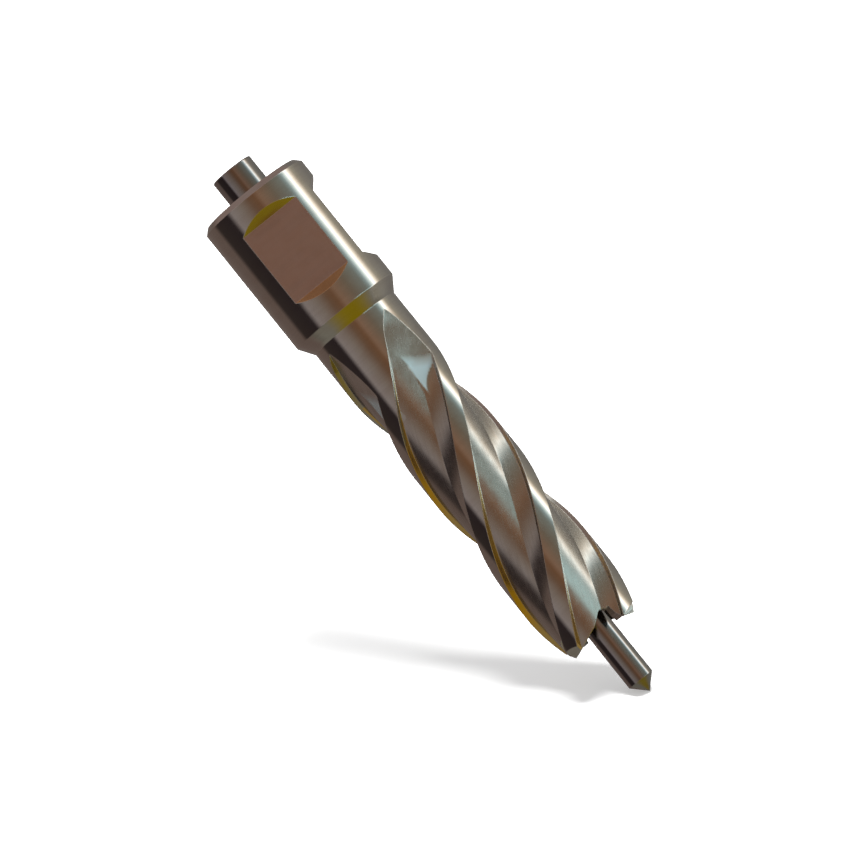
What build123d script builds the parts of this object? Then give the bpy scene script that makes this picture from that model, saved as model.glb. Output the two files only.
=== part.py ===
"""Annular cutter with a stepped pilot pin.

Frame: millimetres, +Z along the axis, shank up and teeth down, origin on the axis level with the middle of the
two clamping flats. The front flat faces -Y, the other faces +X.
"""

import math
import os

from build123d import *
from build123d.topology import SkipClean

# shank
SHANK_DIA = 19.05
SHANK_TOP = 11.8  # the flats sit in the middle of the shank, so the origin is halfway up it
SHANK_LEN = 23.6
SHANK_CHAMFER = 0.9
FLAT_TO_AXIS = 7.97
FLAT_WIDTH_TOP = 16.1  # along the axis, at the shank's surface
CONE_LEN = 2.35  # the cone under the shank
CONE_STEP = 0.1  # the small step where the cone lands on the neck

# tube
NECK_DIA = 15.7
CUT_DIA = 16.0
TOTAL_LEN = 88.5
CUP_DIA = 10.4
CUP_DEPTH = 50.2
MOUTH_TOP = 26.15  # below the shank's top face, where the plain neck starts

# pilot pin
PIN_HEAD_DIA = 7.26
PIN_STEM_DIA = 4.6
PIN_HEAD_OUT = 4.9  # above the shank's top face
PIN_TIP_OUT = 11.1  # the point's reach beyond the highest teeth
PIN_CHAMFER = 0.15
RUN_GAP = 0.04  # radial, pin to bore
LEDGE_DEPTH = 27.0  # below the shank's top face, where the pin's shoulder rests
BORE_CHAMFER = 0.5

# flutes
FLUTES = 4
LEAD = 88.6
LAND_DEG = 21.6
LEAD_EDGE_DEG = 32.5  # a cutting edge, right of the front, at EDGE_LEVEL
EDGE_LEVEL = 87.4
HEEL_R = 6.8  # bottom of the heel wall
HEEL_LEAN_DEG = 2.0
FLOOR_MID_R = 6.2
FLOOR_R = 6.25  # right end of the gently rounded floor
FILLET_DEG = 23.0  # how far ahead of the cutting edge the concave wall starts
RAKE_DEPTH = 0.55  # the straight strip beside the cutting edge
OUTSIDE = 2.6  # how far the flute tool reaches outside the tube
SECTION_STEP = 1.9  # between the tool's sections
# the run-out, where the grinding wheel leaves the flute; levels below the shank's top face
RUNOUT_TOP = 27.2  # its tip, beside the heel
RUNOUT_SIDE = 37.0  # where its rim reaches the cutting edge
RUNOUT_END = 42.3  # where the flute has its full section
RUNOUT_CURVE = 1.7
HEEL_RAMP = 3.6
HEEL_SHIFT_DEG = 3.5  # the heel edge moves over as the wheel lifts
HEEL_SHIFT_END = 46.0  # where it is back on the helix
TIP_SHIFT_DEG = 8.0  # how much further it moves over right at the tip
TIP_DEG = 0.5  # from the foot of the heel wall to the tip
WALL_FACETS = 3  # the concave wall's narrow facets, side by side

# teeth
RELIEF_DEG = 13.0
PEAK_R = 6.86
FLAT_TOOTH_DROP = 0.65
OUTER_BEVEL_DEG = 56.0
INNER_BEVEL_DEG = 16.0
FLAT_BEVEL_DEG = 1.0
GULLET_DEPTH = 3.4
GULLET_LEAN_DEG = 16.0  # of the wall under the cutting edge
GULLET_SLOPE_DEG = 40.0  # of the long side
GULLET_ROUND = 1.0


def level(below_top):
    """Height in the frame of a point given below the shank's top face."""
    return SHANK_TOP - below_top


def polar(radius, deg, z=0.0):
    """A point at an angle counted from the front (-Y) towards the right (+X)."""
    a = math.radians(deg)
    return (radius * math.sin(a), -radius * math.cos(a), z)


def edge_deg(below_top):
    """Angle of the first cutting edge at a level; the helix is right-hand."""
    return LEAD_EDGE_DEG - 360.0 * (below_top - EDGE_LEVEL) / LEAD


def mix(a, b, t):
    return a + (b - a) * t


def parabola(start, knee, end, t):
    """A point of the curve that leaves start and reaches end along their lines to the knee."""
    return tuple(mix(mix(a, b, t), mix(b, c, t), t) for a, b, c in zip(start, knee, end))


def flute_section(below_top):
    """Outline of the flute's tool at one level, from the heel of the land on its left to the cutting edge."""
    span = 360.0 / FLUTES - LAND_DEG
    skin = CUT_DIA / 2
    outer_r = skin + OUTSIDE
    edge = edge_deg(below_top)
    along = (below_top - RUNOUT_TOP) / (RUNOUT_SIDE - RUNOUT_TOP)
    rise = (below_top - RUNOUT_TOP) / HEEL_RAMP
    sink = min(max((below_top - RUNOUT_SIDE) / (RUNOUT_END - RUNOUT_SIDE), 0.0), 1.0)
    # the heel wall, which gets shallower and moves over towards the tip
    fade = min(max((HEEL_SHIFT_END - below_top) / (HEEL_SHIFT_END - RUNOUT_SIDE), 0.0), 1.0)
    heel = edge - span + HEEL_SHIFT_DEG * fade + TIP_SHIFT_DEG * max(1.0 - rise, 0.0) ** 2
    foot_r = mix(skin, HEEL_R, 1.0 - (1.0 - min(rise, 1.0)) ** 2) if rise > 0 else skin - rise * HEEL_RAMP
    foot_deg = heel + HEEL_LEAN_DEG
    # the floor's right end: along the rim of the run-out, then down to the full depth
    tip_deg = edge_deg(RUNOUT_TOP) - span + HEEL_SHIFT_DEG + TIP_SHIFT_DEG + HEEL_LEAN_DEG + TIP_DEG
    rim_deg = mix(tip_deg, edge_deg(RUNOUT_SIDE), 1.0 - (1.0 - min(max(along, 0.0), 1.0)) ** RUNOUT_CURVE)
    end_deg = mix(max(rim_deg, foot_deg + 1.0) if along < 1 else edge, edge - FILLET_DEG, sink)
    end_r = mix(max(skin, foot_r) + 0.02, FLOOR_R, sink)
    mid_deg = (foot_deg + end_deg) / 2
    chord_r = (foot_r + end_r) / 2 * math.cos(math.radians((end_deg - foot_deg) / 2))
    mid_r = mix(chord_r + 0.05, FLOOR_MID_R, sink)
    # the concave wall and the strip beside the cutting edge
    rake_deg = mix(end_deg + 0.3, edge, min(sink * 4.0, 1.0))
    rake_r = mix(end_r + 0.3, skin - RAKE_DEPTH, sink)
    knee = polar(mix((end_r + rake_r) / 2, FLOOR_R, sink), mix((end_deg + rake_deg) / 2, edge - 1.0, sink))
    foot, end, rake = polar(foot_r, foot_deg), polar(end_r, end_deg), polar(rake_r, rake_deg)
    wall = [parabola(end, knee, rake, i / WALL_FACETS) for i in range(WALL_FACETS + 1)]
    left, right = polar(outer_r, heel - 1.0), polar(outer_r, rake_deg + 0.5)
    edges = [
        Line(left, foot),
        ThreePointArc(foot, polar(mid_r, mid_deg), end),
        *[Line(a, b) for a, b in zip(wall, wall[1:])],
        Line(rake, right),
        ThreePointArc(right, polar(outer_r, (heel + rake_deg) / 2), left),
    ]
    return Pos(0, 0, level(below_top)) * Wire(edges)


def flute_tool():
    """The flute as a solid to take away, through evenly spaced sections from above its tip to below the teeth."""
    top = RUNOUT_TOP - 0.7
    count = math.ceil((TOTAL_LEN + 2.0 - top) / SECTION_STEP)
    return Solid.make_loft([flute_section(top + i * SECTION_STEP) for i in range(count + 1)])


def ring(points):
    """A solid of revolution from (radius, level) points given below the shank's top face."""
    pts = [(r, 0, level(v)) for r, v in points]
    return revolve(make_face(Polyline(*pts, close=True)), Axis.Z, 360, clean=False)


def blank():
    r = SHANK_DIA / 2
    neck = NECK_DIA / 2
    # the wall is parted where the flats' bottoms end, so that above and below them it is a whole circle
    flat_reach = FLAT_WIDTH_TOP / 2 - (r - FLAT_TO_AXIS)
    outer = [
        (0, 0),
        (r - SHANK_CHAMFER, 0),
        (r, SHANK_CHAMFER),
        (r, SHANK_TOP - flat_reach),
        (r, SHANK_TOP + flat_reach),
        (r, SHANK_LEN),
        (neck + CONE_STEP, SHANK_LEN + CONE_LEN),
        (neck, SHANK_LEN + CONE_LEN + CONE_STEP),
        (neck, MOUTH_TOP + 2.0),
        (CUT_DIA / 2, TOTAL_LEN - 8.0),
        (CUT_DIA / 2, TOTAL_LEN),
        (0, TOTAL_LEN),
    ]
    return ring(outer)


def bores():
    head = PIN_HEAD_DIA / 2 + RUN_GAP
    stem = PIN_STEM_DIA / 2 + RUN_GAP
    cup = CUP_DIA / 2
    roof = TOTAL_LEN - CUP_DEPTH
    return ring(
        [
            (0, -1.0),
            (head + BORE_CHAMFER + 1.0, -1.0),
            (head, BORE_CHAMFER),
            (head, LEDGE_DEPTH),
            (stem, LEDGE_DEPTH),
            (stem, roof - 0.6),
            (stem + 0.4, roof),
            (cup - 0.8, roof),
            (cup, roof + 0.8),
            (cup, TOTAL_LEN + 3.0),
            (0, TOTAL_LEN + 3.0),
        ]
    )


def flat_tool(turn):
    """The wedge that leaves a clamping flat with 45 degree ends; turn 0 faces the front."""
    deep = SHANK_DIA / 2 - FLAT_TO_AXIS
    half = FLAT_WIDTH_TOP / 2
    out = 1.0
    pts = [
        (0, -FLAT_TO_AXIS, -(half - deep)),
        (0, -FLAT_TO_AXIS, half - deep),
        (0, -FLAT_TO_AXIS - deep - out, half + out),
        (0, -FLAT_TO_AXIS - deep - out, -half - out),
    ]
    wedge = extrude(make_face(Polyline(*pts, close=True)), amount=SHANK_DIA / 2, both=True)
    return Rot(0, 0, turn) * wedge


def tooth_tool(number):
    """What the grinding takes off under one tooth and behind it, up to the next tooth's face."""
    pointed = number % 2 == 1
    drop = 0.0 if pointed else FLAT_TOOTH_DROP
    outer = math.tan(math.radians(OUTER_BEVEL_DEG if pointed else FLAT_BEVEL_DEG))
    inner = math.tan(math.radians(INNER_BEVEL_DEG if pointed else FLAT_BEVEL_DEG))
    relief = math.tan(math.radians(RELIEF_DEG))
    # the profile across the wall, from the axis outwards; z counts up from the tooth's highest point
    near, far = 0.3, CUT_DIA / 2 + 2.0
    low = -6.0
    profile = [(near, inner * (PEAK_R - near)), (PEAK_R, 0.0), (far, outer * (far - PEAK_R)), (far, low), (near, low)]
    z0 = level(TOTAL_LEN - drop)
    face = make_face(Polyline(*[(r, 0, z0 + z) for r, z in profile], close=True))
    # behind the cutting edge the tool climbs by the relief angle, ahead of it the same plane goes on
    back = extrude(face, amount=CUT_DIA / 2, dir=(0, 1, relief))
    ahead = extrude(face, amount=1.2, dir=(0, -1, -relief))
    return Rot(0, 0, edge_deg(EDGE_LEVEL) + 90.0 * number - 90.0) * (back + ahead)


def gullet_tool(number):
    """The notch through the wall ahead of one tooth, which lets the inner chip out into the flute."""
    z = level(TOTAL_LEN)
    foot = 4.0
    lean = math.tan(math.radians(GULLET_LEAN_DEG))
    slope = math.tan(math.radians(GULLET_SLOPE_DEG))
    top = GULLET_DEPTH + 1.0  # the sharp corner before it is rounded
    peak_x = -lean * (top - FLAT_TOOTH_DROP)
    left_x = peak_x - (top - FLAT_TOOTH_DROP) / slope
    # x runs the way the tooth's back lies, so the notch is on its negative side
    pts = [
        (0.0, z - foot),
        (0.0, z + FLAT_TOOTH_DROP),
        (peak_x, z + top),
        (left_x, z + FLAT_TOOTH_DROP),
        (left_x, z - foot),
    ]
    face = make_face(Polyline(*[(x, -CUT_DIA / 2 - 1.0, v) for x, v in pts], close=True)).face()
    corner = face.vertices().sort_by(Axis.Z)[-1]
    face = face.fillet_2d(GULLET_ROUND, [corner])
    tool = extrude(face, amount=CUT_DIA / 2 + 1.0 - 3.2, dir=(0, 1, 0))
    return Rot(0, 0, edge_deg(EDGE_LEVEL) + 90.0 * number) * tool


def cutter_body():
    around = [360.0 / FLUTES * k for k in range(FLUTES)]
    flute = flute_tool()
    flutes = [Rot(0, 0, turn) * flute for turn in around]
    gullets = [gullet_tool(k) for k in range(FLUTES)]
    teeth = [tooth_tool(k) for k in range(FLUTES)]
    with SkipClean():  # keeps the shank's rings apart
        body = blank() - bores() - [flat_tool(turn) for turn in (0, 90)]
        body = body - flutes
        body = body - gullets
        for tool in teeth:
            body = body - tool
    return body


def pilot_pin():
    head = PIN_HEAD_DIA / 2
    stem = PIN_STEM_DIA / 2
    tip = TOTAL_LEN + PIN_TIP_OUT
    return ring(
        [
            (0, -PIN_HEAD_OUT),
            (head - PIN_CHAMFER, -PIN_HEAD_OUT),
            (head, -PIN_HEAD_OUT + PIN_CHAMFER),
            (head, LEDGE_DEPTH),
            (stem, LEDGE_DEPTH),
            (stem, tip - stem),
            (0, tip),
        ]
    )


def main():
    os.makedirs("parts", exist_ok=True)
    for name, shape in (("cutter_body", cutter_body()), ("pilot_pin", pilot_pin())):
        print(name, "volume", round(shape.volume, 1), "valid", shape.is_valid, "solids", len(shape.solids()))
        export_step(shape, "parts/" + name + ".step")


main()
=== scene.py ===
"""Looks of the annular cutter: ground steel cutter and pilot pin, over a pale floor in plain studio light."""

import math

import bmesh
import bpy
from mathutils import Matrix, Vector


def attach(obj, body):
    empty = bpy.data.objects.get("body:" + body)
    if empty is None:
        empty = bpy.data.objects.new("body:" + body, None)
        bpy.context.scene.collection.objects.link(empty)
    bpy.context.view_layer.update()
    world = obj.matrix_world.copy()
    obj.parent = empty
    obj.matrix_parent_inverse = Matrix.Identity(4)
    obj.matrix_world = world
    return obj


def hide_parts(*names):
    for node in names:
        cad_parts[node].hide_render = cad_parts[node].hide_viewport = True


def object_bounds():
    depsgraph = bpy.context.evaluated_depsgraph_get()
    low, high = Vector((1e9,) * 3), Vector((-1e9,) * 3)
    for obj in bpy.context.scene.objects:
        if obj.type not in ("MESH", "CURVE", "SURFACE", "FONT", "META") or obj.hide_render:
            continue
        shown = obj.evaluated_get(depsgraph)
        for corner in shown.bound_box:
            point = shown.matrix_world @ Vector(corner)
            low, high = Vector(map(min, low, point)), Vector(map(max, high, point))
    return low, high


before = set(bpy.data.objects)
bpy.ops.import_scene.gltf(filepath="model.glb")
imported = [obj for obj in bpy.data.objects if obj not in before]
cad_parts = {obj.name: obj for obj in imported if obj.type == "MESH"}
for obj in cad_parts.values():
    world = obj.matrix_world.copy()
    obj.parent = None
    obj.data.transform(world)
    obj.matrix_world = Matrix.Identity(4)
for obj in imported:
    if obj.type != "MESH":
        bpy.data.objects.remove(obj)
cad_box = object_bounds()
scene = bpy.context.scene
scene.view_settings.view_transform = "Standard"

# the camera looks along +Y from the teeth's level, and is rolled so that the shank points up and left
ROLL_DEG = 38.8
AIM = Vector((-0.0012, 0.0, -0.0350))
CAM_DISTANCE = 1.0
CAM_LEVEL = -0.0775
FRAME_WIDTH = 0.135
SENSOR_WIDTH = 36.0
CLIP_NEAR, CLIP_FAR = 0.05, 20.0


def srgb(r, g, b):
    """A colour given as it looks on a screen, 0 to 255, as the linear colour that shaders take."""

    def linear(v):
        v = v / 255.0
        return v / 12.92 if v <= 0.04045 else ((v + 0.055) / 1.055) ** 2.4

    return (linear(r), linear(g), linear(b), 1.0)


def link(obj):
    scene.collection.objects.link(obj)
    return obj


class Nodes:
    """Short calls for building a node tree."""

    def __init__(self, tree):
        self.tree = tree

    def add(self, kind, **settings):
        node = self.tree.nodes.new(kind)
        for key, value in settings.items():
            setattr(node, key, value)
        return node

    def put(self, socket, value):
        if isinstance(value, bpy.types.NodeSocket):
            self.tree.links.new(value, socket)
        else:
            socket.default_value = value

    def math(self, operation, a, b=None):
        node = self.add("ShaderNodeMath", operation=operation)
        self.put(node.inputs[0], a)
        if b is not None:
            self.put(node.inputs[1], b)
        return node.outputs[0]

    def dot(self, a, b):
        node = self.add("ShaderNodeVectorMath", operation="DOT_PRODUCT")
        self.put(node.inputs[0], a)
        self.put(node.inputs[1], b)
        return node.outputs["Value"]

    def split(self, vector):
        node = self.add("ShaderNodeSeparateXYZ")
        self.put(node.inputs[0], vector)
        return node.outputs

    def turn(self, x, y):
        """The angle about the axis, from the front towards +X."""
        return self.math("ARCTAN2", x, self.math("MULTIPLY", y, -1.0))

    def fit(self, value, low, high, to_low=0.0, to_high=1.0, smooth=False):
        """The value with low..high brought to to_low..to_high, and held at the ends."""
        node = self.add("ShaderNodeMapRange", interpolation_type="SMOOTHSTEP" if smooth else "LINEAR")
        for socket, v in zip(node.inputs, (value, low, high, to_low, to_high)):
            self.put(socket, v)
        return node.outputs[0]

    def ramp(self, value, stops):
        node = self.add("ShaderNodeValToRGB")
        elements = node.color_ramp.elements
        while len(elements) > 1:
            elements.remove(elements[-1])
        elements[0].position, elements[0].color = stops[0]
        for place, colour in stops[1:]:
            elements.new(place).color = colour
        self.put(node.inputs[0], value)
        return node.outputs[0]

    def mix(self, share, a, b):
        node = self.add("ShaderNodeMix", data_type="RGBA")
        colours = [socket for socket in node.inputs if socket.type == "RGBA"]
        self.put(node.inputs[0], share)
        self.put(colours[0], a)
        self.put(colours[1], b)
        return next(socket for socket in node.outputs if socket.type == "RGBA")


def add_camera():
    data = bpy.data.cameras.new("camera")
    cam = link(bpy.data.objects.new("camera", data))
    place = Vector((AIM.x, -CAM_DISTANCE, CAM_LEVEL))
    look = AIM - place
    turn = look.to_track_quat("-Z", "Y").to_matrix().to_4x4()
    cam.matrix_world = Matrix.Translation(place) @ turn @ Matrix.Rotation(math.radians(-ROLL_DEG), 4, "Z")
    data.sensor_width = SENSOR_WIDTH
    data.lens = data.sensor_width * look.length / FRAME_WIDTH
    data.clip_start, data.clip_end = CLIP_NEAR, CLIP_FAR
    scene.camera = cam


# the cutter's sizes, those of its solid but for the flutes' floor and wall: millimetres, and levels counted
# down from the shank's top face
SHANK_TOP = 11.8
SHANK_R, SHANK_LEN, SHANK_CHAMFER = 9.525, 23.6, 0.9
FLAT_TO_AXIS, FLAT_LENGTH = 7.97, 16.1
CONE_LEN, CONE_STEP, NECK_R = 2.35, 0.1, 7.85
CUT_R, TOTAL_LEN, TAPER_FROM, TAPER_TO = 8.0, 88.5, 28.15, 80.5  # the tube widens a little towards the teeth
CUP_R, CUP_DEPTH = 5.2, 50.2
BORE_R, STEM_BORE_R, LEDGE_DEPTH, BORE_CHAMFER = 3.67, 2.34, 27.0, 0.5
STEM_FLARE, STEM_FLARE_LEN, CUP_BEVEL = 0.4, 0.6, 0.8
# the flutes: how many, their lead, the land between two, and where the first cutting edge lies near the mouth
FLUTES, LEAD, LAND_DEG, LEAD_EDGE_DEG, EDGE_LEVEL = 4, 88.6, 21.6, 32.5, 87.4
PITCH_DEG, QUARTER_DEG = 360.0 / FLUTES, 90.0
# a flute's section: its heel wall, its floor, and the concave wall with a knee and a strip at the edge
HEEL_R, HEEL_LEAN_DEG, FLOOR_R, FILLET_DEG, RAKE_DEPTH = 7.05, 2.0, 6.12, 23.0, 0.72
KNEE_R, KNEE_DEG = 6.42, 11.5
FLOOR_SHARE = 1.0 - FILLET_DEG / (PITCH_DEG - LAND_DEG - HEEL_LEAN_DEG)
OUTSIDE, HEEL_OPEN_DEG, EDGE_OPEN_DEG = 2.6, 1.0, 0.5  # how far its outline reaches past the tube
# the run-out: its tip, the end of its slanting side and that side's curve, and how the heel bends towards it
RUNOUT_TOP, RUNOUT_SIDE, RUNOUT_CURVE, HEEL_RAMP = 27.2, 37.0, 1.7, 3.6
HEEL_SHIFT_DEG, HEEL_SHIFT_END, TIP_SHIFT_DEG, TIP_DEG = 3.5, 46.0, 8.0, 0.5
# the teeth, pointed and flat, and the gullets ahead of them
RELIEF_DEG, PEAK_R, FLAT_TOOTH_DROP = 13.0, 6.86, 0.65
OUTER_BEVEL_DEG, INNER_BEVEL_DEG, FLAT_BEVEL_DEG = 56.0, 16.0, 1.0
GULLET_CORNER, GULLET_LEAN_DEG, GULLET_SLOPE_DEG, GULLET_ROUND, GULLET_NEAR = 4.4, 16.0, 40.0, 1.0, 3.2
TOOTH_AHEAD, TOOTH_NEAR_R = 1.2, 0.3
OUT, UNDER_TEETH, UNDER_GULLET = 1.0, 3.0, 4.0  # how far the cutting shapes reach past the steel
# the flat ramp that the wheel leaves: down to the first level there is nothing else, from the second the
# flute's floor lies beside it, and below the third it has run out
RAMP_ONLY, FLOOR_FROM, RAMP_END = 31.0, 34.0, RUNOUT_SIDE + 6.5
RAMP_EASE, RAMP_BLEND, RAMP_HIDES, RAMP_FALL, RAMP_OVER = 0.012, 0.06, 1.5, 0.04, 0.02
NARROWEST_DEG, WIDEST_DEG = 1.0, 60.0
# the freshly ground patch on the ramp, rougher and with a painted bluish highlight: the level of its top at
# the heel and the drop to the edge, its soft top and its end, how far the ramp stands proud of the floor
# there, and its soft side
FRESH_GLINT_FROM, FRESH_GLINT_SLOPE, FRESH_GLINT_FADE, FRESH_GLINT_TO = 33.6, 3.6, 1.8, RUNOUT_SIDE + 6.0
FRESH_GLINT_PROUD, FRESH_GLINT_START, FRESH_GLINT_SIDE_DEG = 0.05, 0.3, 1.5
# the grid: columns round one flute and its land, and levels
LAND_COLUMNS, HEEL_COLUMNS, FLOOR_COLUMNS, WALL_COLUMNS, STRIP_COLUMNS = 20, 4, 26, 20, 3
SHANK_STEPS, CONE_STEPS, NECK_STEP, FIRST_STEP, LEVEL_STEP, BELOW_MOUTH = 12, 4, 0.5, 0.1, 0.3, 1.5
LATHE_COLUMNS, ROUND_STEPS, HALVINGS = 160, 12, 30
WELD, NEARLY, SHARP_DEG = 0.0001, 0.001, 16.0
MM, MM_PER_M, MM_PER_CM = 0.001, 1000.0, 10.0
GRAIN_R, PIN_GRAIN_R = 6.6, 5.0  # the radii at which the grinding marks' lengths are measured
# how far a face must lie inside a surface to count as cut, and what its normal has to be
SKIN, CUP_SKIN, WIDE_SKIN = 0.02, 0.03, 0.1
SLOPING, FACING_ROUND, LEVEL, SQUARE = 0.5, 0.7, 0.9, 0.99
# the finishes, in the order of the cutter's materials; the milled end's tan and the heel's gold are painted
# reflections, and the inside's dark is painted shade
GROUND, FLUTED, MILLED, MILLED_END, INSIDE, HEELED = range(6)


def mix(a, b, t):
    return a + (b - a) * t


def clamp(t):
    return min(max(t, 0.0), 1.0)


def angle(p):
    """The angle of a point about the axis, from the front (-Y) towards the right (+X)."""
    return math.atan2(p.x, -p.y)


def edge_deg(below_top):
    """Where the first cutting edge lies at a level; the helix is right-hand."""
    return LEAD_EDGE_DEG - 360.0 * (below_top - EDGE_LEVEL) / LEAD


def polar(radius, deg):
    """A point in the plane across the axis, by its distance from it and its angle."""
    a = math.radians(deg)
    return Vector((radius * math.sin(a), -radius * math.cos(a)))


def blank_r(below_top):
    """Radius of the tube before the flutes are cut."""
    stops = [(0.0, SHANK_R - SHANK_CHAMFER), (SHANK_CHAMFER, SHANK_R), (SHANK_LEN, SHANK_R),
             (SHANK_LEN + CONE_LEN, NECK_R + CONE_STEP), (SHANK_LEN + CONE_LEN + CONE_STEP, NECK_R),
             (TAPER_FROM, NECK_R), (TAPER_TO, CUT_R), (math.inf, CUT_R)]
    for (v0, r0), (v1, r1) in zip(stops, stops[1:]):
        if below_top <= v1:
            return mix(r0, r1, (below_top - v0) / (v1 - v0))


def smooth_max(a, b, width):
    """The larger of two values, rounded over where they come nearer than the width."""
    gap = max(width - abs(a - b), 0.0) / width
    return max(a, b) + gap * gap * width / 4


def full_profile():
    """The full flute's floor, and its wall up to the strip at the edge, as (share of the width, radius)."""
    span = PITCH_DEG - LAND_DEG - HEEL_LEAN_DEG
    floor = [(i / FLOOR_COLUMNS * FLOOR_SHARE, HEEL_R * (FLOOR_R / HEEL_R) ** (i / FLOOR_COLUMNS))
             for i in range(FLOOR_COLUMNS + 1)]
    end, knee, rake = polar(FLOOR_R, -FILLET_DEG), polar(KNEE_R, -KNEE_DEG), polar(CUT_R - RAKE_DEPTH, 0.0)
    wall = []
    for i in range(WALL_COLUMNS + 1):
        t = i / WALL_COLUMNS
        p = end.lerp(knee, t).lerp(knee.lerp(rake, t), t)
        wall.append((1.0 + math.degrees(angle(p)) / span, p.length))
    return floor, wall


PROFILE = full_profile()


def flute_outline(below_top):
    """The flute's outline at one level in four runs of points: heel wall, floor, concave wall, edge strip."""
    span = PITCH_DEG - LAND_DEG
    along = clamp((below_top - RUNOUT_TOP) / (RUNOUT_SIDE - RUNOUT_TOP))
    rise = (below_top - RUNOUT_TOP) / HEEL_RAMP
    fade = clamp((HEEL_SHIFT_END - below_top) / (HEEL_SHIFT_END - RUNOUT_SIDE))
    heel = edge_deg(below_top) - span + HEEL_SHIFT_DEG * fade + TIP_SHIFT_DEG * max(1.0 - rise, 0.0) ** 2
    foot_r = mix(CUT_R, HEEL_R, 1.0 - (1.0 - min(rise, 1.0)) ** 2) if rise > 0 else CUT_R - rise * HEEL_RAMP
    foot_deg = heel + HEEL_LEAN_DEG
    last = edge_deg(RUNOUT_SIDE)
    # the straight line of the ramp at this level; below its side it stays where it was
    if along < 1.0:
        tip_deg = edge_deg(RUNOUT_TOP) - span + HEEL_SHIFT_DEG + TIP_SHIFT_DEG + HEEL_LEAN_DEG + TIP_DEG
        rim_deg = max(mix(tip_deg, last, 1.0 - (1.0 - along) ** RUNOUT_CURVE), foot_deg + NARROWEST_DEG)
        foot, rim = polar(foot_r, foot_deg), polar(max(CUT_R, foot_r) + RAMP_OVER, rim_deg)
    else:
        rim_deg = edge_deg(below_top)
        foot = polar(HEEL_R, last - span + HEEL_SHIFT_DEG + HEEL_LEAN_DEG)
        rim = polar(CUT_R + RAMP_OVER, last)
    chord = rim - foot
    middle = Vector((chord.y, -chord.x)).normalized()
    middle_deg, near_r = math.degrees(angle(middle)), foot.dot(middle)
    ease = 1.0 - RAMP_EASE * (1.0 - math.exp(RUNOUT_SIDE - max(below_top, RUNOUT_SIDE)))
    sink = clamp((below_top - RAMP_ONLY) / (FLOOR_FROM - RAMP_ONLY))
    hidden = (1.0 - sink * sink * (3.0 - 2.0 * sink)) * RAMP_HIDES
    runs = []
    for profile in PROFILE:
        run = []
        for share, radius in profile:
            deg = mix(foot_deg, rim_deg, share)
            off = (deg - middle_deg + 180.0) % 360.0 - 180.0
            if along == 1.0 and off < 0:
                flat = near_r * ease + off * RAMP_FALL  # what lay left of here the wheel has taken away
            else:
                flat = near_r * ease / math.cos(math.radians(min(off, WIDEST_DEG)))
            if below_top <= RAMP_END:
                radius = smooth_max(flat, radius - hidden, RAMP_BLEND)
            run.append(polar(radius, deg))
        runs.append(run)
    floor, wall = runs
    left = polar(CUT_R + OUTSIDE, heel - HEEL_OPEN_DEG)
    right = polar(CUT_R + OUTSIDE, rim_deg + EDGE_OPEN_DEG)
    return (
        [left.lerp(floor[0], i / HEEL_COLUMNS) for i in range(HEEL_COLUMNS + 1)],
        floor,
        wall,
        [wall[-1].lerp(right, i / STRIP_COLUMNS) for i in range(STRIP_COLUMNS + 1)],
    )


def inside_run(points, radius, count):
    """What lies inside the radius of a run, as so many steps of one length; None if nothing does."""
    kept = []
    for a, b in zip(points, points[1:]):
        ra, rb = a.length, b.length
        if ra <= radius and not kept:
            kept.append(a)
        if (ra - radius) * (rb - radius) < 0:
            low, high = 0.0, 1.0
            for _ in range(HALVINGS):
                t = (low + high) / 2
                if (a.lerp(b, t).length - radius) * (ra - radius) > 0:
                    low = t
                else:
                    high = t
            kept.append(a.lerp(b, (low + high) / 2))
        if rb <= radius:
            kept.append(b)
    if len(kept) < 2:
        return None
    if len(kept) == count + 1:
        return kept
    lengths = [0.0]
    for a, b in zip(kept, kept[1:]):
        lengths.append(lengths[-1] + (b - a).length)
    out, k = [], 0
    for i in range(count + 1):
        at = lengths[-1] * i / count
        while k < len(kept) - 2 and lengths[k + 1] < at:
            k += 1
        piece = lengths[k + 1] - lengths[k]
        out.append(kept[k].lerp(kept[k + 1], (at - lengths[k]) / piece if piece > 0 else 0.0))
    return out


def section_columns(below_top):
    """One level of the grid: for each flute its outline's columns, then the land's."""
    radius = blank_r(below_top)
    counts = (HEEL_COLUMNS, FLOOR_COLUMNS, WALL_COLUMNS, STRIP_COLUMNS)
    runs = [inside_run(points, radius, count) if below_top > RUNOUT_TOP else None
            for points, count in zip(flute_outline(below_top), counts)]
    found = [run for run in runs if run]
    if found:
        columns, here = [], found[0][0]
        for run, count in zip(runs, counts):
            run = run or [here] * (count + 1)
            columns.extend(run[1:] if columns else run)
            here = run[-1]
    else:
        tip_deg = edge_deg(RUNOUT_TOP) - (PITCH_DEG - LAND_DEG) + HEEL_SHIFT_DEG + TIP_SHIFT_DEG
        columns = [polar(radius, tip_deg)] * (sum(counts) + 1)
    start, stop = angle(columns[-1]), angle(columns[0]) + 2 * math.pi / FLUTES
    land = (stop - start) % (2 * math.pi)
    for i in range(1, LAND_COLUMNS):
        a = start + land * i / LAND_COLUMNS
        columns.append(Vector((radius * math.sin(a), -radius * math.cos(a))))
    spins = [Matrix.Rotation(2 * math.pi / FLUTES * k, 2) for k in range(FLUTES)]
    return [spin @ p for spin in spins for p in columns]


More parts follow.
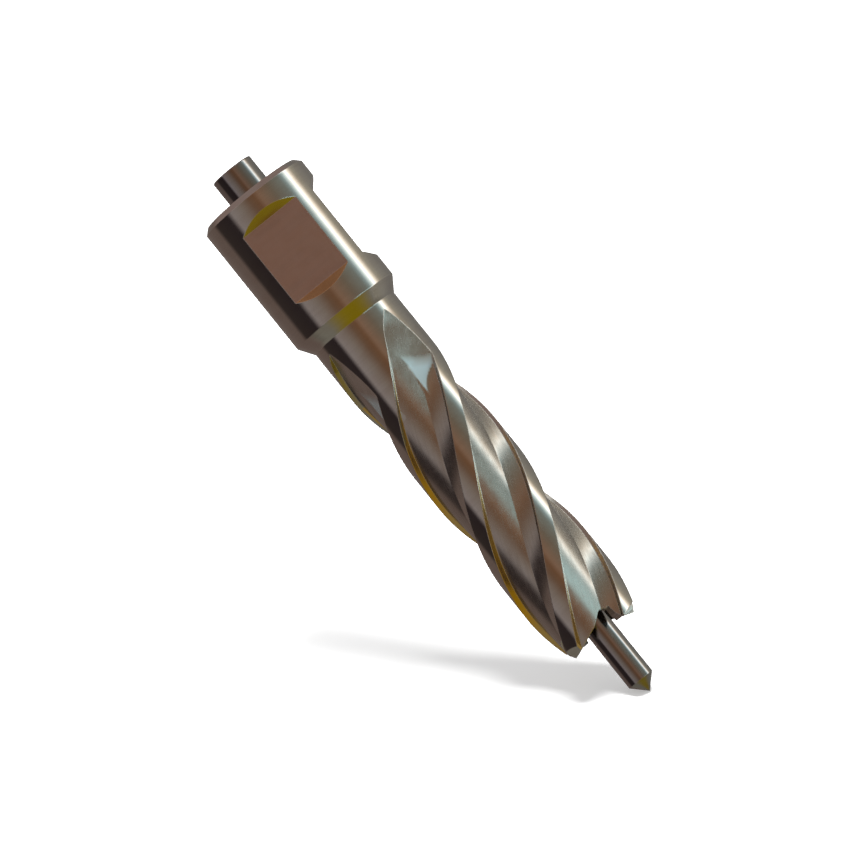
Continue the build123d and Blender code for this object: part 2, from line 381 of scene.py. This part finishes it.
def solid_from_rings(rings, name):
    """A closed mesh through rings of equally many points, each a list of (x, y, z) in millimetres."""
    count = len(rings[0])
    verts = [tuple(p) for ring in rings for p in ring]
    faces = []
    for j in range(len(rings) - 1):
        for i in range(count):
            k = (i + 1) % count
            faces.append((j * count + i, (j + 1) * count + i, (j + 1) * count + k, j * count + k))
    faces.append(tuple(range(count)))
    faces.append(tuple((len(rings) - 1) * count + i for i in reversed(range(count))))
    mesh = bpy.data.meshes.new(name)
    mesh.from_pydata(verts, [], faces)
    bm = bmesh.new()
    bm.from_mesh(mesh)
    bmesh.ops.remove_doubles(bm, verts=bm.verts, dist=WELD)
    bmesh.ops.recalc_face_normals(bm, faces=bm.faces)
    bm.to_mesh(mesh)
    bm.free()
    return mesh


def lathe(profile, name):
    """A closed mesh of revolution from (radius, below_top) points, top to bottom."""
    turns = [2 * math.pi * i / LATHE_COLUMNS for i in range(LATHE_COLUMNS)]
    rings = [[(r * math.sin(a), -r * math.cos(a), SHANK_TOP - v) for a in turns] for r, v in profile]
    return solid_from_rings(rings, name)


def prism(points, start, way, turn_deg, name):
    """A closed mesh: the outline of (x, z) points at y = start, swept along way and turned about the axis."""
    spin = Matrix.Rotation(math.radians(turn_deg), 3, "Z")
    ends = [[spin @ (Vector((x, start, z)) + Vector(way) * t) for x, z in points] for t in (0, 1)]
    return solid_from_rings([[tuple(p) for p in end] for end in ends], name)


def bores():
    """The pin's two bores and the cup."""
    roof = TOTAL_LEN - CUP_DEPTH
    return lathe([
        (BORE_R + BORE_CHAMFER + OUT, -OUT),
        (BORE_R, BORE_CHAMFER),
        (BORE_R, LEDGE_DEPTH),
        (STEM_BORE_R, LEDGE_DEPTH + NEARLY),
        (STEM_BORE_R, roof - STEM_FLARE_LEN),
        (STEM_BORE_R + STEM_FLARE, roof),
        (CUP_R - CUP_BEVEL, roof + NEARLY),
        (CUP_R, roof + CUP_BEVEL),
        (CUP_R, TOTAL_LEN + UNDER_TEETH),
    ], "bores")


def flats():
    """The wedges that mill the two clamping flats, in front and on the right, with their sloping ends."""
    deep, half = SHANK_R - FLAT_TO_AXIS, FLAT_LENGTH / 2
    near, far = FLAT_TO_AXIS, FLAT_TO_AXIS + deep + OUT
    wedge = [(near, deep - half), (near, half - deep), (far, half + OUT), (far, -half - OUT)]
    return [prism(wedge, -SHANK_R, (0, 2 * SHANK_R, 0), turn, "flat") for turn in (-QUARTER_DEG, 0.0)]


def gullets():
    """The notches ahead of the teeth: a leaning wall under the edge, a round corner and a long slope."""
    mouth = SHANK_TOP - TOTAL_LEN
    lean, slope = (math.tan(math.radians(a)) for a in (GULLET_LEAN_DEG, GULLET_SLOPE_DEG))
    height = GULLET_CORNER - FLAT_TOOTH_DROP
    peak = -lean * height
    left = peak - height / slope
    corner = Vector((peak, mouth + GULLET_CORNER))
    into, away = Vector((-peak, -height)).normalized(), Vector((left - peak, -height)).normalized()
    half_angle = into.angle(away) / 2
    reach = GULLET_ROUND / math.tan(half_angle)
    centre = corner + (into + away).normalized() * (GULLET_ROUND / math.sin(half_angle))
    first, last = corner + into * reach - centre, corner + away * reach - centre
    sweep = first.angle_signed(last)
    arc = [centre + Matrix.Rotation(-sweep * i / ROUND_STEPS, 2) @ first for i in range(ROUND_STEPS + 1)]
    notch = [(0.0, mouth - UNDER_GULLET), (0.0, mouth + FLAT_TOOTH_DROP), *[tuple(p) for p in arc],
             (left, mouth + FLAT_TOOTH_DROP), (left, mouth - UNDER_GULLET)]
    way = (0, CUT_R + OUT - GULLET_NEAR, 0)
    return [prism(notch, -CUT_R - OUT, way, LEAD_EDGE_DEG + PITCH_DEG * k, "gullet") for k in range(FLUTES)]


def tooth(number):
    """What is ground off under one tooth and behind it; every second tooth is pointed, the rest are flat."""
    pointed = number % 2 == 1
    mouth = SHANK_TOP - TOTAL_LEN + (0.0 if pointed else FLAT_TOOTH_DROP)
    outer = math.tan(math.radians(OUTER_BEVEL_DEG if pointed else FLAT_BEVEL_DEG))
    inner = math.tan(math.radians(INNER_BEVEL_DEG if pointed else FLAT_BEVEL_DEG))
    relief = math.tan(math.radians(RELIEF_DEG))
    near, far, under = TOOTH_NEAR_R, CUT_R + 2 * OUT, -2 * UNDER_TEETH
    face = [(near, inner * (PEAK_R - near)), (PEAK_R, 0.0), (far, outer * (far - PEAK_R)),
            (far, under), (near, under)]
    outline = [(r, mouth + z - relief * TOOTH_AHEAD) for r, z in face]
    length = TOOTH_AHEAD + CUT_R
    return prism(outline, -TOOTH_AHEAD, (0, length, relief * length),
                 LEAD_EDGE_DEG + PITCH_DEG * number - QUARTER_DEG, "tooth")


def tools():
    """What is taken off the fluted blank: teeth first and bores last, which the solver takes better."""
    return [bores(), *flats(), *gullets(), *[tooth(k) for k in range(FLUTES)]][::-1]


def finish_region(centre, normal):
    """Which finish a face of the cutter has, told by where it lies: centre in millimetres."""
    radius, below_top = math.hypot(centre.x, centre.y), SHANK_TOP - centre.z
    outward = normal.x * centre.x + normal.y * centre.y
    below_ledge = below_top > LEDGE_DEPTH - WIDE_SKIN
    if radius < CUP_R + CUP_SKIN and (outward < 0 or below_ledge) and below_top > BORE_CHAMFER:
        return INSIDE
    if below_top < SHANK_LEN:
        deep = radius < SHANK_R - SHANK_CHAMFER - SKIN and abs(normal.z) < LEVEL
        cut = below_top > SHANK_CHAMFER and radius < SHANK_R - SKIN / 2 and (
            max(abs(normal.x), abs(normal.y)) > SQUARE or abs(normal.z) > SLOPING)
        if deep or cut:
            return MILLED_END if normal.z > SLOPING else GROUND if normal.z < -SLOPING else MILLED
    if below_top > RUNOUT_TOP and radius < blank_r(below_top) - SKIN and abs(normal.z) < SLOPING:
        round_axis = normal.y * centre.x - normal.x * centre.y
        heel_wall = round_axis > FACING_ROUND * radius and radius > HEEL_R - WIDE_SKIN
        return HEELED if heel_wall and below_top > RUNOUT_SIDE else FLUTED
    return GROUND


def ramp_fresh_glint(p):
    """1 on the lower part of the wheel's ramp, where it is freshly ground and takes a painted highlight, else
    0.
    """
    below_top, radius, deg = SHANK_TOP - p.z, math.hypot(p.x, p.y), math.degrees(angle(p))
    span = PITCH_DEG - LAND_DEG - HEEL_LEAN_DEG
    share = 1.0 + ((deg - edge_deg(below_top)) % PITCH_DEG - PITCH_DEG) / span
    last = edge_deg(RUNOUT_SIDE)
    chord = polar(CUT_R, last) - polar(HEEL_R, last - span + HEEL_SHIFT_DEG)
    from_middle = (deg - math.degrees(math.atan2(chord.y, chord.x))) % PITCH_DEG
    if not (RAMP_ONLY < below_top < FRESH_GLINT_TO and 0.0 < share < 1.0 and from_middle <= PITCH_DEG / 2):
        return 0.0
    points = PROFILE[0] + PROFILE[1][1:]
    k = max(i for i in range(len(points) - 1) if points[i][0] <= share)
    (s0, r0), (s1, r1) = points[k], points[k + 1]
    proud = radius - mix(r0, r1, (share - s0) / (s1 - s0))
    from_top = below_top - FRESH_GLINT_FROM - FRESH_GLINT_SLOPE * share
    return (clamp(proud / FRESH_GLINT_PROUD - FRESH_GLINT_START) * clamp(from_top / FRESH_GLINT_FADE)
            * min(from_middle / FRESH_GLINT_SIDE_DEG, 1.0))


def lay_grain(mesh):
    """The finish of each face, the fresh patches with their painted highlight, and UV in centimetres: across
    the marks and along them.
    """
    grain = mesh.uv_layers.new(name="grain")
    fresh_glint = mesh.color_attributes.new(name="fresh_glint", type="FLOAT_COLOR", domain="POINT")
    for vertex in mesh.vertices:
        fresh_glint.data[vertex.index].color = (ramp_fresh_glint(vertex.co),) * 3 + (1.0,)
    lean = math.atan(2 * math.pi * GRAIN_R / LEAD)
    sin, cos = math.sin(lean), math.cos(lean)
    for face in mesh.polygons:
        face.material_index = finish_region(face.center, face.normal)
        about = angle(face.center)
        for loop in face.loop_indices:
            p = mesh.vertices[mesh.loops[loop].vertex_index].co
            turn = (angle(p) - about + math.pi) % (2 * math.pi) - math.pi + about
            arc, up = GRAIN_R * turn, p.z
            if face.material_index in (FLUTED, HEELED):
                place = (arc * cos - up * sin, arc * sin + up * cos)
            elif abs(face.normal.z) > LEVEL:
                place = (math.hypot(p.x, p.y), arc)
            else:
                place = (up, arc)
            grain.data[loop].uv = [v / MM_PER_CM for v in place]


def grid_levels():
    """The levels of the cutter's grid, from the shank's top to below the mouth."""
    below_chamfer, neck = SHANK_LEN - SHANK_CHAMFER, SHANK_LEN + CONE_LEN + CONE_STEP
    count = round((TOTAL_LEN + BELOW_MOUTH - RUNOUT_TOP) / LEVEL_STEP)
    return [
        0.0, SHANK_CHAMFER / 2, SHANK_CHAMFER,
        *[SHANK_CHAMFER + below_chamfer * i / SHANK_STEPS for i in range(1, SHANK_STEPS + 1)],
        *[SHANK_LEN + CONE_LEN * i / CONE_STEPS for i in range(1, CONE_STEPS + 1)],
        neck, neck + NECK_STEP,
        RUNOUT_TOP, RUNOUT_TOP + FIRST_STEP, RUNOUT_TOP + 2 * FIRST_STEP,
        *[RUNOUT_TOP + LEVEL_STEP * i for i in range(1, count + 1)],
    ]


def add_cutter(materials):
    """The cutter body as one fine mesh, smooth along the flutes, with its grinding directions as UV."""
    rings = [[(p.x, p.y, SHANK_TOP - v) for p in section_columns(v)] for v in grid_levels()]
    obj = link(bpy.data.objects.new("cutter_steel", solid_from_rings(rings, "cutter_blank")))
    helpers = [link(bpy.data.objects.new("tool", tool)) for tool in tools()]
    for helper in helpers:
        cut = obj.modifiers.new("cut", "BOOLEAN")
        cut.operation, cut.object, cut.solver = "DIFFERENCE", helper, "MANIFOLD"
    bpy.context.view_layer.update()
    done = bpy.data.meshes.new_from_object(obj.evaluated_get(bpy.context.evaluated_depsgraph_get()))
    obj.modifiers.clear()
    obj.data = done
    for helper in helpers:
        bpy.data.objects.remove(helper)
    done.materials.clear()
    for material in materials:
        done.materials.append(material)
    lay_grain(done)
    for face in done.polygons:
        face.use_smooth = True
    done.set_sharp_from_angle(angle=math.radians(SHARP_DEG))
    done.transform(Matrix.Scale(MM, 4))
    return obj


STEEL = srgb(180, 174, 167)
PIN_STEEL = srgb(153, 149, 147)
# a pale bluish base colour, a painted highlight on the ramp's fresh patch
RAMP_GLINT = srgb(226, 246, 255)
TINT = srgb(150, 122, 104)
# a pale base colour, a painted highlight along the edges
EDGE_GLINT = srgb(232, 230, 226)
TENT_RADIUS, TENT_SEGMENTS = 0.45, 48
# what the steel mirrors, by direction: degrees round the object from the camera's side towards +X
WALL = [
    (-180, srgb(118, 112, 108), 1.0),
    (-150, srgb(128, 114, 108), 1.0),
    (-108, srgb(128, 112, 106), 1.0),
    (-98, srgb(66, 58, 56), 1.0),
    (-62, srgb(56, 48, 50), 1.0),
    (-52, srgb(172, 164, 164), 1.0),
    (-30, srgb(158, 146, 138), 1.0),
    (-10, srgb(136, 108, 88), 1.0),
    (2, srgb(140, 104, 78), 1.0),
    (12, srgb(166, 134, 112), 1.0),
    (36, srgb(142, 130, 114), 1.0),
    (62, srgb(150, 158, 152), 1.0),
    (70, srgb(176, 200, 204), 1.0),
    (76, srgb(226, 250, 255), 1.5),
    (83, srgb(246, 255, 255), 3.4),
    (88, srgb(255, 250, 240), 2.3),
    (94, srgb(250, 240, 220), 1.2),
    (99, srgb(206, 202, 186), 1.0),
    (112, srgb(176, 174, 166), 1.0),
    (140, srgb(146, 144, 140), 1.0),
    (180, srgb(118, 112, 108), 1.0),
]
# the rest of the tent: heights are shares of its radius over its middle, and where something fades in, the
# place where it starts comes before the place where it is full
UNDER, UNDER_FROM, UNDER_FULL = srgb(146, 144, 134), -0.5, -0.72
OVER, OVER_FROM, OVER_FULL = srgb(168, 150, 146), 0.6, 0.8
OLIVE, OLIVE_WAY = srgb(158, 138, 24), Vector((0.12, -0.3, -0.946))
OLIVE_FROM_DEG, OLIVE_FULL_DEG = 43.0, 6.0
# a low pale card in front on the right
CARD, CARD_LEVEL, CARD_DEG, CARD_FROM_DEG, CARD_FULL_DEG = srgb(205, 248, 255), 2.0, 52.0, 26.0, 14.0
CARD_TOP, CARD_TOP_FULL, CARD_FOOT, CARD_FOOT_FULL = -0.17, -0.26, -0.52, -0.42


def scaled(colour, up, down=1.0):
    return tuple(c * up / down for c in colour[:3]) + (1.0,)


def add_tent():
    """A light tent all round, which only mirrors in the steel."""
    mesh = bpy.data.meshes.new("tent")
    bm = bmesh.new()
    bmesh.ops.create_uvsphere(bm, u_segments=TENT_SEGMENTS, v_segments=TENT_SEGMENTS // 2, radius=TENT_RADIUS)
    bmesh.ops.translate(bm, verts=bm.verts, vec=(0, 0, AIM.z))
    bm.to_mesh(mesh)
    bm.free()
    tent = link(bpy.data.objects.new("tent", mesh))
    mat = bpy.data.materials.new("tent")
    mat.use_nodes = True
    mat.node_tree.nodes.clear()
    n = Nodes(mat.node_tree)
    place = n.add("ShaderNodeTexCoord").outputs["Object"]
    x, y, z = n.split(place)
    turn = n.turn(x, y)
    peak = max(level for _, _, level in WALL)
    stops = [((deg + 180) / 360, scaled(colour, level, peak)) for deg, colour, level in WALL]
    colour = n.ramp(n.fit(turn, -math.pi, math.pi), stops)
    height = n.math("DIVIDE", n.math("SUBTRACT", z, AIM.z), TENT_RADIUS)
    from_card = n.math("ABSOLUTE", n.math("SUBTRACT", turn, math.radians(CARD_DEG)))
    across = n.fit(from_card, math.radians(CARD_FROM_DEG), math.radians(CARD_FULL_DEG), smooth=True)
    below = n.fit(height, CARD_TOP, CARD_TOP_FULL, smooth=True)
    above = n.fit(height, CARD_FOOT, CARD_FOOT_FULL, smooth=True)
    card = n.math("MULTIPLY", across, n.math("MULTIPLY", below, above))
    colour = n.mix(card, colour, scaled(CARD, CARD_LEVEL, peak))
    colour = n.mix(n.fit(height, UNDER_FROM, UNDER_FULL, smooth=True), colour, scaled(UNDER, 1.0, peak))
    colour = n.mix(n.fit(height, OVER_FROM, OVER_FULL, smooth=True), colour, scaled(OVER, 1.0, peak))
    centred = n.add("ShaderNodeVectorMath", operation="SUBTRACT")
    n.put(centred.inputs[0], place)
    n.put(centred.inputs[1], (0, 0, AIM.z))
    way = n.dot(centred.outputs[0], OLIVE_WAY.normalized() / TENT_RADIUS)
    near, far = (math.cos(math.radians(a)) for a in (OLIVE_FULL_DEG, OLIVE_FROM_DEG))
    colour = n.mix(n.fit(way, far, near, smooth=True), colour, scaled(OLIVE, 1.0, peak))
    glow = n.add("ShaderNodeEmission")
    n.put(glow.inputs["Color"], colour)
    n.put(glow.inputs["Strength"], peak)
    out = n.add("ShaderNodeOutputMaterial")
    n.put(out.inputs["Surface"], glow.outputs[0])
    mesh.materials.append(mat)
    tent.visible_camera = tent.visible_diffuse = tent.visible_shadow = tent.visible_transmission = False
    tent.visible_volume_scatter = False


def grain_place(n, marks):
    """Coordinates across and along the grinding marks, in millimetres: from the UV, or round the axis."""
    if marks == "uv":
        across, along, _ = n.split(n.add("ShaderNodeUVMap", uv_map="grain").outputs[0])
        return n.math("MULTIPLY", across, MM_PER_CM), n.math("MULTIPLY", along, MM_PER_CM)
    x, y, z = n.split(n.add("ShaderNodeTexCoord").outputs["Object"])
    return n.math("MULTIPLY", z, MM_PER_M), n.math("MULTIPLY", n.turn(x, y), PIN_GRAIN_R)


def noise(n, across, along, fine, long, detail=3.0, seed=0.0):
    """Noise stretched along the marks: feature sizes in millimetres across and along them."""
    place = n.add("ShaderNodeCombineXYZ")
    n.put(place.inputs[0], n.math("DIVIDE", across, fine))
    n.put(place.inputs[1], n.math("DIVIDE", along, long))
    place.inputs[2].default_value = seed
    node = n.add("ShaderNodeTexNoise")
    n.put(node.inputs["Vector"], place.outputs[0])
    node.inputs["Scale"].default_value = 1.0
    node.inputs["Detail"].default_value = detail
    return node.outputs[0]


# the steel's noises: feature sizes in millimetres across and along the marks, and where they show
STREAK_LEN, CLOUD_SIZE, PATCH_SIZE = 9.0, (2.2, 3.4), (0.9, 1.2)
STREAK_SEED, CLOUD_SEED, PATCH_SEED = 1.3, 7.1, 4.4
CLOUD_SHOWS, STREAK_SHOWS, PATCH_SHOWS, GLOSS_SHOWS = (0.42, 0.68), (0.45, 0.75), (0.35, 0.6), (0.36, 0.64)
STREAK_SHARE, DARK, PATCH_BUMP = 1.6, 0.72, 0.05
EDGE_RADIUS, EDGE_SAMPLES, EDGE_SHOWS = 0.00022, 6, (0.99, 0.9)
FRESH_ROUGH, QUARTER_TURN = 0.32, 0.25


def steel(name, colour=STEEL, rough=(0.1, 0.15), spread=0.5, marks="uv", fine=0.22, depth=0.0006, mottle=0.12,
          edges=0.5, fresh_glint=False):
    """Ground steel: marks one way, a slight change of colour and gloss, and rounded edges with a painted
    highlight.
    """
    mat = bpy.data.materials.new(name)
    mat.use_nodes = True
    n = Nodes(mat.node_tree)
    shader = mat.node_tree.nodes["Principled BSDF"]
    across, along = grain_place(n, marks)
    streak = noise(n, across, along, fine, STREAK_LEN, seed=STREAK_SEED)
    cloud = noise(n, across, along, *CLOUD_SIZE, seed=CLOUD_SEED)
    patch = noise(n, across, along, *PATCH_SIZE, detail=5.0, seed=PATCH_SEED)
    base = n.mix(n.fit(cloud, *CLOUD_SHOWS, 0.0, mottle, smooth=True), colour, TINT)
    base = n.mix(n.fit(streak, *STREAK_SHOWS, 0.0, mottle * STREAK_SHARE), base, scaled(colour, DARK))
    gloss = n.math("ADD", n.math("MULTIPLY", streak, 0.5), n.math("MULTIPLY", patch, 0.5))
    gloss = n.fit(gloss, *GLOSS_SHOWS, *rough)
    if fresh_glint:
        # the fresh patch is rougher, and its pale bluish base colour is a painted highlight
        mask = n.add("ShaderNodeAttribute", attribute_name="fresh_glint").outputs["Fac"]
        base = n.mix(mask, base, RAMP_GLINT)
        gloss = n.math("ADD", gloss, n.math("MULTIPLY", mask, FRESH_ROUGH))
    bump = n.add("ShaderNodeBump")
    if edges:
        # edges rounded by the bevel's normal, and a painted highlight: a paler base colour where the normal
        # bends, broken up by noise
        soft = n.add("ShaderNodeBevel", samples=EDGE_SAMPLES)
        soft.inputs["Radius"].default_value = EDGE_RADIUS
        bend = n.dot(soft.outputs[0], n.add("ShaderNodeNewGeometry").outputs["Normal"])
        edge_glint = n.fit(bend, *EDGE_SHOWS, 0.0, edges, smooth=True)
        base = n.mix(n.math("MULTIPLY", edge_glint, n.fit(patch, *PATCH_SHOWS)), base, EDGE_GLINT)
        n.put(bump.inputs["Normal"], soft.outputs[0])
    n.put(shader.inputs["Base Color"], base)
    shader.inputs["Metallic"].default_value = 1.0
    n.put(shader.inputs["Roughness"], gloss)
    shader.inputs["Anisotropic"].default_value = spread
    tangent = n.add("ShaderNodeTangent", direction_type="UV_MAP" if marks == "uv" else "RADIAL")
    if marks == "uv":
        tangent.uv_map = "grain"
    else:
        tangent.axis = "Z"
        shader.inputs["Anisotropic Rotation"].default_value = QUARTER_TURN
    n.put(shader.inputs["Tangent"], tangent.outputs[0])
    bump.inputs["Strength"].default_value = 1.0
    bump.inputs["Distance"].default_value = depth * MM
    n.put(bump.inputs["Height"], n.math("ADD", streak, n.math("MULTIPLY", patch, PATCH_BUMP)))
    n.put(shader.inputs["Normal"], bump.outputs[0])
    return mat


FLOOR_SIZE, FLOOR_GAP = 1.2, 0.0003
FLOOR_POINT = Vector((0.0, 0.0, cad_box[0][2] - FLOOR_GAP))
FLOOR_TILT = math.radians(25.0)
FLOOR_LEAN = math.radians(32.0)
FLOOR_WAY = Vector((math.sin(FLOOR_LEAN) * math.cos(FLOOR_TILT), -math.sin(FLOOR_TILT),
                    math.cos(FLOOR_LEAN) * math.cos(FLOOR_TILT)))
FLOOR_GLOW, FLOOR_SHADE = 0.35, 0.8
LAMP_AWAY, LAMP_SIZE, LAMP_POWER = 0.6, 0.24, 6.4


def add_floor():
    """The pale floor under the tip, with the soft shadow of the one lamp straight above it."""
    side = FLOOR_WAY.orthogonal().normalized()
    across, along = side * FLOOR_SIZE, FLOOR_WAY.cross(side) * FLOOR_SIZE
    corners = [FLOOR_POINT + across * a + along * b for a, b in ((-1, -1), (1, -1), (1, 1), (-1, 1))]
    mesh = bpy.data.meshes.new("floor")
    mesh.from_pydata([tuple(c) for c in corners], [], [(0, 1, 2, 3)])
    if mesh.polygons[0].normal.dot(FLOOR_WAY) < 0:
        mesh.flip_normals()
    floor = link(bpy.data.objects.new("floor", mesh))
    mat = bpy.data.materials.new("floor")
    mat.use_nodes = True
    mat.node_tree.nodes.clear()
    n = Nodes(mat.node_tree)
    shade = n.add("ShaderNodeBsdfDiffuse")
    shade.inputs["Color"].default_value = (FLOOR_SHADE,) * 3 + (1.0,)
    glow = n.add("ShaderNodeEmission")
    seen = n.add("ShaderNodeLightPath").outputs["Is Camera Ray"]
    n.put(glow.inputs["Strength"], n.math("MULTIPLY", seen, FLOOR_GLOW))
    lit = n.add("ShaderNodeAddShader")
    n.put(lit.inputs[0], shade.outputs[0])
    n.put(lit.inputs[1], glow.outputs[0])
    through = n.add("ShaderNodeBsdfTransparent")
    both = n.add("ShaderNodeMixShader")
    n.put(both.inputs[0], n.add("ShaderNodeNewGeometry").outputs["Backfacing"])
    n.put(both.inputs[1], lit.outputs[0])
    n.put(both.inputs[2], through.outputs[0])
    out = n.add("ShaderNodeOutputMaterial")
    n.put(out.inputs["Surface"], both.outputs[0])
    mesh.materials.append(mat)
    floor.visible_glossy = floor.visible_shadow = floor.visible_diffuse = False
    data = bpy.data.lights.new("lamp", "AREA")
    data.shape, data.size, data.energy = "DISK", LAMP_SIZE, LAMP_POWER
    lamp = link(bpy.data.objects.new("lamp", data))
    turn = (-FLOOR_WAY).to_track_quat("-Z", "Y").to_matrix().to_4x4()
    lamp.matrix_world = Matrix.Translation(FLOOR_POINT + FLOOR_WAY * LAMP_AWAY) @ turn
    lamp.visible_glossy = lamp.visible_camera = False


WORLD_LIGHT, WORLD_SEEN = (0.5, 0.5, 0.5, 1.0), (1.0, 1.0, 1.0, 1.0)


def add_world():
    world = bpy.data.worlds.new("world")
    scene.world = world
    world.use_nodes = True
    n = Nodes(world.node_tree)
    path = n.add("ShaderNodeLightPath")
    seen = n.math("MAXIMUM", path.outputs["Is Camera Ray"],
                  n.math("MAXIMUM", path.outputs["Is Glossy Ray"], path.outputs["Is Transmission Ray"]))
    background = world.node_tree.nodes["Background"]
    n.put(background.inputs["Color"], n.mix(seen, WORLD_LIGHT, WORLD_SEEN))


add_camera()
add_tent()
add_floor()
add_world()
cutter = add_cutter([
    steel("ground steel"),
    steel("fluted steel", rough=(0.2, 0.3), spread=0.6, fine=0.3, depth=0.0003, mottle=0.14, fresh_glint=True),
    steel("milled steel", colour=srgb(192, 176, 175), rough=(0.36, 0.42), spread=0.2, fine=0.8, mottle=0.1),
    # the up-facing end walls of the flats: a warm tan base colour that is a painted reflection
    steel("milled end painted tan", colour=srgb(214, 176, 128), rough=(0.3, 0.36), spread=0.2, fine=0.8, mottle=0.1),
    # the bores and the cup: a rougher finish, and a dark base colour that is painted shade in the hollows
    steel("steel inside painted dark", colour=srgb(96, 88, 80), rough=(0.35, 0.5), spread=0.3, edges=0),
    # the heel wall: a gold base colour that is a painted reflection of yellow surroundings
    steel("heel steel painted gold", colour=srgb(214, 180, 112), rough=(0.16, 0.24), fine=0.3, depth=0.0003, edges=0.3),
])
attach(cutter, "cutter")
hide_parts("cutter_body")
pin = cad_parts["pilot_pin"]
for slot in pin.material_slots:
    slot.material = steel("pin steel", colour=PIN_STEEL, marks="axis", edges=0.2)
